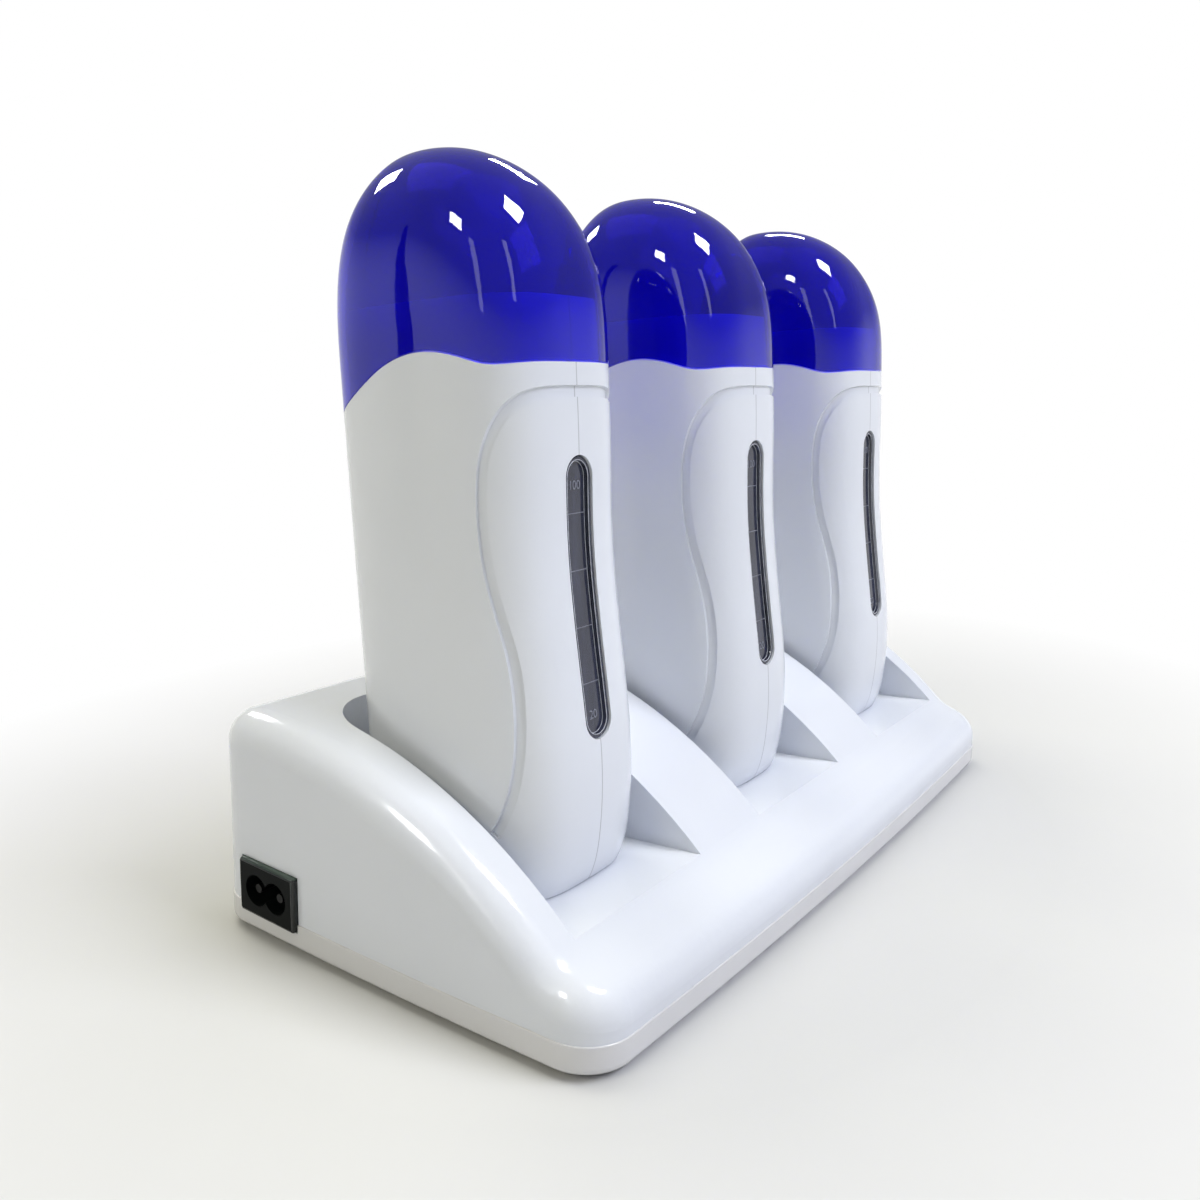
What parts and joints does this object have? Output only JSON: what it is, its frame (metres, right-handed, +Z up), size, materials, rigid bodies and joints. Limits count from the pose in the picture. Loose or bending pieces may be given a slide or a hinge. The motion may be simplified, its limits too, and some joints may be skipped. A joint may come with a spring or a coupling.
{
  "type": "roll-on wax heater",
  "caption": "Mains docking base with leaning roll-on wax heaters in a row; each handset has a level window, a heated cartridge cavity and a lift-off translucent cap.",
  "frame": {"origin": "on the surface the feet stand on, under the middle of the base", "axes": "+X along the row of bays, away from the mains inlet; -Y to the front lip; +Z up"},
  "size_m": [0.2731, 0.1288, 0.2034],
  "materials": {
    "base_white": "moulded, satin gloss",
    "handset_white": "moulded, satin gloss",
    "cap_blue": "deep blue translucent, polished",
    "window_smoke": "smoked clear, polished",
    "socket_black": "moulded, fine grain",
    "plug_black": "moulded, fine grain",
    "contact_brass": "nickel-free, drawn",
    "foot_rubber": "soft, matt",
    "screw_steel": "zinc plated",
    "liner_aluminium": "drawn, bright",
    "heater_film": "amber insulating film",
    "fuse_steel": "bright",
    "lead_white": "silicone insulation",
    "wire_blue": "insulation",
    "wire_brown": "insulation"
  },
  "bodies": {
    "base": {"base_top_housing": "base_white", "base_bottom_tray": "base_white", "rubber_feet": "foot_rubber", "base_screws": "screw_steel", "power_inlet": "socket_black", "inlet_pins": "contact_brass", "dock_plug_1": "plug_black", "dock_contacts_1": "contact_brass", "dock_plug_2": "plug_black", "dock_contacts_2": "contact_brass", "dock_plug_3": "plug_black", "dock_contacts_3": "contact_brass", "front_wires": "wire_blue", "back_wires": "wire_brown"},
    "handset_1": {"handset_1_shell_left": "handset_white", "handset_1_shell_right": "handset_white", "handset_1_window": "window_smoke", "handset_1_heat_liner": "liner_aluminium", "handset_1_heater_plate": "heater_film", "handset_1_thermal_fuse": "fuse_steel", "handset_1_socket": "socket_black", "handset_1_socket_pins": "contact_brass", "handset_1_leads": "lead_white", "handset_1_screws": "screw_steel"},
    "cap_1": {"cap_1": "cap_blue"},
    "handset_2": {"handset_2_shell_left": "handset_white", "handset_2_shell_right": "handset_white", "handset_2_window": "window_smoke", "handset_2_heat_liner": "liner_aluminium", "handset_2_heater_plate": "heater_film", "handset_2_thermal_fuse": "fuse_steel", "handset_2_socket": "socket_black", "handset_2_socket_pins": "contact_brass", "handset_2_leads": "lead_white", "handset_2_screws": "screw_steel"},
    "cap_2": {"cap_2": "cap_blue"},
    "handset_3": {"handset_3_shell_left": "handset_white", "handset_3_shell_right": "handset_white", "handset_3_window": "window_smoke", "handset_3_heat_liner": "liner_aluminium", "handset_3_heater_plate": "heater_film", "handset_3_thermal_fuse": "fuse_steel", "handset_3_socket": "socket_black", "handset_3_socket_pins": "contact_brass", "handset_3_leads": "lead_white", "handset_3_screws": "screw_steel"},
    "cap_3": {"cap_3": "cap_blue"}
  },
  "joints": [
    {"name": "handset_1_lift", "type": "slide", "parent": "base", "child": "handset_1", "axis": [0, 0.0958, 0.9954], "range_m": [0, 0.05]},
    {"name": "cap_1_lift", "type": "slide", "parent": "handset_1", "child": "cap_1", "axis": [0, 0.0958, 0.9954], "range_m": [0, 0.032]},
    {"name": "handset_2_lift", "type": "slide", "parent": "base", "child": "handset_2", "axis": [0, 0.0958, 0.9954], "range_m": [0, 0.05]},
    {"name": "cap_2_lift", "type": "slide", "parent": "handset_2", "child": "cap_2", "axis": [0, 0.0958, 0.9954], "range_m": [0, 0.032]},
    {"name": "handset_3_lift", "type": "slide", "parent": "base", "child": "handset_3", "axis": [0, 0.0958, 0.9954], "range_m": [0, 0.05]},
    {"name": "cap_3_lift", "type": "slide", "parent": "handset_3", "child": "cap_3", "axis": [0, 0.0958, 0.9954], "range_m": [0, 0.032]}
  ]
}
